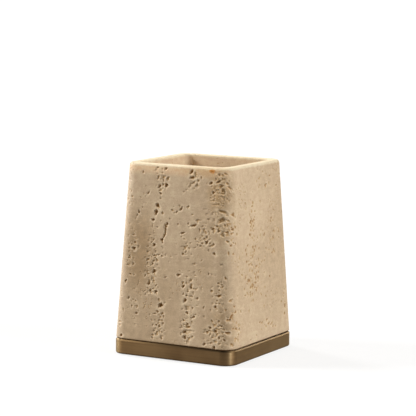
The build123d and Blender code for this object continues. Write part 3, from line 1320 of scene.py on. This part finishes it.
    def _shell(self) -> bpy.types.Object:
        """Models the cup's walls, floor and rounded edges.

        Returns:
            The cup, before it is bored and pitted.
        """
        rim, mouth = self.rim_side / 2, self.mouth_side / 2
        top, floor, foot = self.high.z, self.floor, self.low.z
        cup = self._tapered("travertine_cup", (self.half_foot, rim), (foot, top), self.corner_radius)
        halves = (self.pocket_half_at(floor), mouth)
        pocket = self._tapered("pocket", halves, (floor, top), self.pocket_corner_radius)
        with editing(pocket):
            bpy.ops.mesh.select_all(action="SELECT")
            bpy.ops.mesh.flip_normals()
        cup = merge([cup, pocket])
        parting = (rim + mouth) / 2
        with editing(cup):
            pick(cup, Pick.EDGES, lambda edge: edge.is_boundary)
            bpy.ops.mesh.bridge_edge_loops()
            for height, inmost, outmost, width, segments in (
                (top, parting, math.inf, self.rim_outer_round, self.rim_outer_segments),
                (top, 0.0, mouth + TOUCH, self.rim_inner_round, self.rim_inner_segments),
                (floor, 0.0, math.inf, self.pocket_floor_round, self.floor_segments),
                (foot, 0.0, math.inf, self.arris, self.arris_segments),
            ):
                round_over(cup, lambda edge: level(edge, height, inmost, outmost), width, segments)
            bpy.ops.mesh.select_all(action="SELECT")
            bpy.ops.mesh.normals_make_consistent(inside=False)
        return cup

    def _bore(self, cup: bpy.types.Object) -> None:
        """Drills the blind holes for the inserts in the cup's underside.

        Args:
            cup: The cup.
        """
        feet = fastener_axes(self.high.x - self.fastener_inset, self.low.z - self.insert_depth)
        tall = 2 * self.insert_depth
        drills = [drum("drill", self.insert_radius, foot, tall, self.bore_sides) for foot in feet]
        combine(cup, merge(drills), "DIFFERENCE")

    def _lay_grid(self, cup: bpy.types.Object) -> None:
        """Divides the walls into small squares that can hold pits.

        Args:
            cup: The cup.
        """
        tall = self.high.z - self.low.z
        wall = (self.half_foot + self.mouth_side / 2) / 2
        flat = self.rim_side - 2 * self.corner_radius
        with editing(cup):
            pick(cup, Pick.EDGES, lambda edge: rise(edge) > tall / 2 and reach(middle(edge)) > wall)
            bpy.ops.mesh.subdivide(number_cuts=round(tall / self.grid) - 1)
            pick(cup, Pick.EDGES, lambda edge: rise(edge) > tall / 2)
            bpy.ops.mesh.subdivide(number_cuts=round(tall / self.pocket_grid) - 1)
            for inmost, outmost, step in ((0.0, wall, self.pocket_grid), (wall, tall, self.grid)):
                pick(
                    cup,
                    Pick.EDGES,
                    lambda edge: rise(edge) < TOUCH
                    and edge.calc_length() > flat / 2
                    and middle(edge).z > self.low.z + TOUCH
                    and inmost < reach(middle(edge)) < outmost
                    and min(abs(middle(edge).x), abs(middle(edge).y)) < TOUCH,
                )
                bpy.ops.mesh.subdivide(number_cuts=round(flat / step) - 1)

    def _carve(self, cup: bpy.types.Object) -> None:
        """Sinks the pits into the walls, and stores the tints that the stone's finish reads.

        Args:
            cup: The cup, divided into small squares.
        """
        pits = self.plan_pits()
        mesh = cup.data
        for _ in range(self.pit_divisions):
            self._divide(cup, pits)
        count = len(mesh.vertices)
        places = np.zeros(3 * count)
        normals = np.zeros(3 * count)
        mesh.vertices.foreach_get("co", places)
        mesh.vertex_normals.foreach_get("vector", normals)
        places = places.reshape(-1, 3)
        depth, brown, lip = pits.measure(places)
        carved = places - normals.reshape(-1, 3) * depth[:, None]
        mesh.vertices.foreach_set("co", carved.ravel())
        self._mark(mesh, "pit", brown)
        self._mark(mesh, "lip", lip)
        for name, shades in TINTS.items():
            self._mark(mesh, name, np.max([self._tint(places, shade) for shade in shades], axis=0))
        mesh.update()
        log.info("carved %d pits on %d vertices", len(pits.pits), count)

    def _divide(self, cup: bpy.types.Object, pits: PitField) -> None:
        """Halves the faces that a pit reaches.

        Args:
            cup: The cup.
            pits: Its pits.
        """
        mesh = cup.data
        mesh.update()
        centres = np.array([face.center[:] for face in mesh.polygons])
        corners = np.array([mesh.vertices[face.vertices[0]].co[:] for face in mesh.polygons])
        reaches = np.linalg.norm(corners - centres, axis=1)
        pitted = pits.touches(centres, self.pit_reach * reaches) & (centres[:, 2] > self.low.z + TOUCH)
        with editing(cup):
            pick(cup, Pick.FACES, lambda face: pitted[face.index])
            bpy.ops.mesh.subdivide(number_cuts=1)

    def _tint(self, places: np.ndarray, shade: Shade) -> np.ndarray:
        """How strongly a shade of the front face tints each place.

        Args:
            places: Places on the unpitted surface, one in a row.
            shade: The shade.

        Returns:
            The tint at each place, from 0 to the shade's strength.
        """
        centre, normal = self.on_face(Face.FRONT, shade.across * MM, shade.height * MM)
        offset = places - np.array(centre)
        across = offset @ np.array(UP.cross(normal)) / (shade.half_across * MM)
        up = offset[:, 2] / (shade.half_height * MM)
        near = np.clip(self.tint_edge - np.hypot(across, up), 0, 1)
        taper = (self.half_foot - self.rim_side / 2) / (self.high.z - self.low.z)
        out = np.abs(offset @ np.array(normal) + taper * offset[:, 2])
        return shade.strength * (near * np.clip(2 - out / PitField.THROUGH, 0, 1))

    @staticmethod
    def _mark(mesh: bpy.types.Mesh, name: str, values: np.ndarray) -> None:
        """Stores a value at every vertex under a name."""
        mesh.attributes.new(name, "FLOAT", "POINT").data.foreach_set("value", values.astype(np.float32))


@dataclass
class BronzeBase:
    """The bronze plinth, hollowed from below round four bosses."""

    low: Vector
    high: Vector
    corner_radius: float = 8.5 * MM
    top_bevel: float = 0.9 * MM
    bottom_round: float = 0.8 * MM
    wall: float = 5.0 * MM
    deck: float = 4.0 * MM
    boss_radius: float = 7.5 * MM
    fastener_inset: float = 9.5 * MM
    foot_radius: float = 5.5 * MM
    foot_seat: float = 1.5 * MM
    head_radius: float = 4.0 * MM
    screw_radius: float = 2.25 * MM
    corner_segments: int = 14
    bevel_segments: int = 1
    bottom_segments: int = 3
    bore_sides: int = 48
    smooth_below: float = math.radians(35.0)

    def build(self) -> None:
        """Models the base and dresses it in bronze."""
        base = block("brushed_base", self.low, self.high)
        with editing(base):
            round_over(base, upright, self.corner_radius, self.corner_segments)
            round_over(base, lambda edge: level(edge, self.high.z), self.top_bevel, self.bevel_segments)
            round_over(base, lambda edge: level(edge, self.low.z), self.bottom_round, self.bottom_segments)
            pick(base, Pick.FACES, looks_down)
            bpy.ops.mesh.inset(thickness=self.wall - self.bottom_round)
            hollow = self.high.z - self.low.z - self.deck
            bpy.ops.mesh.extrude_region_move(TRANSFORM_OT_translate={"value": (0.0, 0.0, hollow)})
        self._bore(base)
        smooth(base, self.smooth_below)
        finish = BrushedBronze(self.high.z - self.top_bevel, self.low.z + self.bottom_round)
        dress(base, finish.material(), "bronze_base")

    def _bore(self, base: bpy.types.Object) -> None:
        """Adds the bosses, then bores them for the feet, the screw heads and the screws.

        Args:
            base: The base.
        """
        height = self.high.z - self.low.z
        hollow = height - self.deck
        axes = fastener_axes(self.high.x - self.fastener_inset, self.low.z)
        tall = hollow + self.deck / 2
        bosses = [drum("boss", self.boss_radius, axis, tall, self.bore_sides) for axis in axes]
        combine(base, merge(bosses), "UNION")
        for radius, depth in (
            (self.foot_radius, self.foot_seat),
            (self.head_radius, hollow),
            (self.screw_radius, 2 * height),
        ):
            tall = height + depth
            drills = [drum("drill", radius, axis - UP * height, tall, self.bore_sides) for axis in axes]
            combine(base, merge(drills), "DIFFERENCE")


@dataclass
class RubberFeet:
    """The four soft feet, modelled once and copied to each corner."""

    nodes: tuple[str, ...] = ("foot_front_left", "foot_front_right", "foot_back_left", "foot_back_right")
    edge_round: float = 0.4 * MM
    rim_width: float = 1.4 * MM
    dish_depth: float = 0.25 * MM
    top_round: float = 0.2 * MM
    edge_segments: int = 4
    top_segments: int = 2
    sides: int = 64
    smooth_below: float = math.radians(40.0)

    def build(self, finish: Rubber) -> None:
        """Models the feet and dresses them.

        Args:
            finish: The rubber's finish.
        """
        material = finish.material()
        first_low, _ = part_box(self.nodes[0])
        first = self._model()
        pads = [first]
        for node in self.nodes[1:]:
            take(first)
            bpy.ops.object.duplicate()
            low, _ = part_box(node)
            bpy.ops.transform.translate(value=low - first_low)
            bpy.ops.object.transform_apply(location=True)
            pads.append(bpy.context.active_object)
        for node, pad in zip(self.nodes, pads):
            pad.name = node.replace("foot", "pad")
            dress(pad, material, node)

    def _model(self) -> bpy.types.Object:
        """Models the first foot: a pad with round edges and a shallow dish below.

        Returns:
            The foot.
        """
        low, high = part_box(self.nodes[0])
        centre = Vector(((low.x + high.x) / 2, (low.y + high.y) / 2, low.z))
        pad = drum("pad", (high.x - low.x) / 2, centre, high.z - low.z, self.sides)
        with editing(pad):
            round_over(pad, lambda edge: level(edge, low.z), self.edge_round, self.edge_segments)
            round_over(pad, lambda edge: level(edge, high.z), self.top_round, self.top_segments)
            pick(pad, Pick.FACES, looks_down)
            bpy.ops.mesh.inset(thickness=self.rim_width)
            bpy.ops.mesh.inset(thickness=self.dish_depth)
            bpy.ops.transform.translate(value=(0.0, 0.0, self.dish_depth))
        smooth(pad, self.smooth_below)
        return pad


@dataclass(frozen=True)
class HiddenFittings:
    """The gasket, inserts and screws, which keep their CAD shape and get a finish."""

    gasket: Rubber = Rubber("gasket_sheet", tint=srgb(126, 84, 38), dust=srgb(138, 98, 52), gloss=0.1)
    brass: TurnedMetal = TurnedMetal("turned_brass", srgb(228, 200, 144), srgb(208, 174, 112))
    steel: TurnedMetal = TurnedMetal("zinc_steel", srgb(200, 200, 202), srgb(176, 178, 184))

    def build(self) -> None:
        """Dresses the three CAD nodes."""
        finishes = {
            "bedding_gasket": self.gasket.material(),
            "threaded_inserts": self.brass.material(),
            "base_screws": self.steel.material(),
        }
        for node, material in finishes.items():
            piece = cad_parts[node]
            piece.data.materials.clear()
            piece.data.materials.append(material)
            log.info("%s: CAD node, dressed", node)


# The studio

COOL = (0.75, 0.95, 1.2)


@dataclass(frozen=True)
class Sun:
    """A far, soft lamp. Bearing is measured from the front face's outward side towards the right face."""

    name: str
    bearing: float
    elevation: float
    strength: float
    softness: float
    on_metal_only: bool = False
    tint: Triple = EVEN

    def build(self) -> None:
        """Hangs the lamp."""
        lamp = bpy.data.lights.new(self.name, "SUN")
        lamp.energy = self.strength
        lamp.angle = math.radians(self.softness)
        lamp.color = self.tint
        holder = bpy.data.objects.new(self.name, lamp)
        holder.visible_diffuse = not self.on_metal_only
        bpy.context.scene.collection.objects.link(holder)
        bearing, elevation = math.radians(self.bearing), math.radians(self.elevation)
        flat = math.cos(elevation)
        towards = Vector((flat * math.sin(bearing), -flat * math.cos(bearing), math.sin(elevation)))
        holder.rotation_euler = towards.to_track_quat("Z", "Y").to_euler()


@dataclass(frozen=True)
class Studio:
    """A white floor and world, soft lamps from both sides, and a dark card that the metal mirrors."""

    card_low: Triple = (-0.062, -0.31, 0.002)
    card_high: Triple = (0.36, -0.3, 0.9)
    floor_size: float = 80.0
    floor_tone: float = 0.2
    floor_glow: float = 0.79
    ambient: float = 0.37
    ambient_tint: Colour = (1.0, 0.92, 0.78, 1.0)
    lamps: tuple[Sun, ...] = (
        Sun("key", 96.0, 31.0, 2.35, 24.0),
        Sun("fill", -65.0, 30.0, 3.12, 18.0),
        Sun("rim", -110.0, 28.0, 1.45, 14.0),
        Sun("corner_glint", 75.0, 6.0, 2.4, 10.0, on_metal_only=True, tint=COOL),
        Sun("back_glint", 172.0, 29.0, 1.0, 16.0, on_metal_only=True),
        Sun("edge_glint", -84.0, 4.0, 4.6, 30.0, on_metal_only=True, tint=COOL),
    )

    def build(self) -> None:
        """Sets out the floor, the world and the lamps."""
        bpy.context.scene.view_settings.view_transform = "Standard"
        bpy.ops.object.select_all(action="DESELECT")
        bpy.ops.mesh.primitive_plane_add(size=self.floor_size, location=(0.0, 0.0, 0.0))
        floor = bpy.context.active_object
        floor.name = "studio_floor"
        floor.data.materials.append(self._floor_material())
        self._stand_card()
        self._light_world()
        for lamp in self.lamps:
            lamp.build()
        log.info("studio: floor, world and %d lamps", len(self.lamps))

    def _stand_card(self) -> None:
        """Stands a dark card in front of the stand, seen only in its glossy reflections."""
        card = block("studio_card", Vector(self.card_low), Vector(self.card_high))
        card.visible_camera = card.visible_diffuse = card.visible_transmission = card.visible_shadow = False
        black = bpy.data.materials.new("studio_card")
        black.diffuse_color = BLACK
        black.use_nodes = True
        shader = black.node_tree.nodes["Principled BSDF"]
        shader.inputs["Base Color"].default_value = BLACK
        shader.inputs["Specular IOR Level"].default_value = 0.0
        card.data.materials.append(black)

    @staticmethod
    def _seen_rays(bench: Wiring) -> Socket:
        """Tells apart the rays that show the background to the eye, in metal or through glass.

        Args:
            bench: The wiring of the floor or the world.

        Returns:
            A value of 1 for these rays and 0 for the rest.
        """
        paths = bench.add("ShaderNodeLightPath", {})
        total = paths["Is Camera Ray"]
        for name in ("Is Glossy Ray", "Is Transmission Ray"):
            total = bench.sum("MAXIMUM", total, paths[name])
        return total

    def _floor_material(self) -> bpy.types.Material:
        """A pale matte floor that looks white but throws little light back up.

        Returns:
            The material.
        """
        material = bpy.data.materials.new("studio_floor")
        material.use_nodes = True
        material.node_tree.nodes.clear()
        bench = Wiring(material.node_tree)
        tone = (self.floor_tone, self.floor_tone, self.floor_tone, 1.0)
        matte = bench.add("ShaderNodeBsdfDiffuse", {"Color": tone})["BSDF"]
        strength = bench.sum("MULTIPLY", self._seen_rays(bench), self.floor_glow)
        glow = bench.add("ShaderNodeEmission", {"Strength": strength})["Emission"]
        both = bench.add("ShaderNodeAddShader", {0: matte, 1: glow})["Shader"]
        bench.add("ShaderNodeOutputMaterial", {"Surface": both})
        return material

    def _light_world(self) -> None:
        """Lights the scene softly from all round, with a white background."""
        world = bpy.data.worlds.new("studio_world")
        bpy.context.scene.world = world
        world.use_nodes = True
        world.node_tree.nodes.clear()
        bench = Wiring(world.node_tree)
        soft, white = (
            bench.add("ShaderNodeBackground", {"Color": tint, "Strength": strength})["Background"]
            for tint, strength in ((self.ambient_tint, self.ambient), (WHITE, 1.0))
        )
        seen = self._seen_rays(bench)
        either = bench.add("ShaderNodeMixShader", {"Fac": seen, 1: soft, 2: white})["Shader"]
        bench.add("ShaderNodeOutputWorld", {"Surface": either})


@dataclass(frozen=True)
class PhotoCamera:
    """The camera, at the photograph's viewing angle."""

    bearing: float = 29.085
    pitch: float = 7.26
    roll: float = 0.547
    distance: float = 1.2086
    aim_right: float = 1.981 * MM
    aim_height: float = 90.48 * MM
    lens: float = 166.25
    sensor: float = 36.0
    view_limit: float = 500.0

    def build(self) -> None:
        """Sets the camera up and makes it the scene's own."""
        bearing, pitch, roll = (math.radians(angle) for angle in (self.bearing, self.pitch, self.roll))
        right = Vector((math.cos(bearing), math.sin(bearing), 0.0))
        flat = math.cos(pitch)
        ahead = Vector((-math.sin(bearing) * flat, math.cos(bearing) * flat, -math.sin(pitch)))
        above = right.cross(ahead)
        across = math.cos(roll) * right + math.sin(roll) * above
        upwards = math.cos(roll) * above - math.sin(roll) * right
        aim = self.aim_right * right + Vector((0.0, 0.0, self.aim_height))
        lens = bpy.data.cameras.new("photo_camera")
        lens.lens = self.lens
        lens.sensor_width = self.sensor
        lens.clip_end = self.view_limit
        camera = bpy.data.objects.new("photo_camera", lens)
        bpy.context.scene.collection.objects.link(camera)
        turn = Matrix((across, upwards, -ahead)).transposed().to_4x4()
        camera.matrix_world = Matrix.Translation(aim - self.distance * ahead) @ turn
        bpy.context.scene.camera = camera
        log.info("camera at %s", [round(value, 4) for value in camera.location])


def main() -> None:
    """Builds the stand's pieces, then the studio and the camera."""
    logging.basicConfig(level=logging.INFO, format="%(name)s: %(message)s")
    StoneCup(*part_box("stone_cup")).build()
    BronzeBase(*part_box("bronze_base")).build()
    RubberFeet().build(Rubber("foot_rubber"))
    HiddenFittings().build()
    Studio().build()
    PhotoCamera().build()


if __name__ == "__main__":
    main()
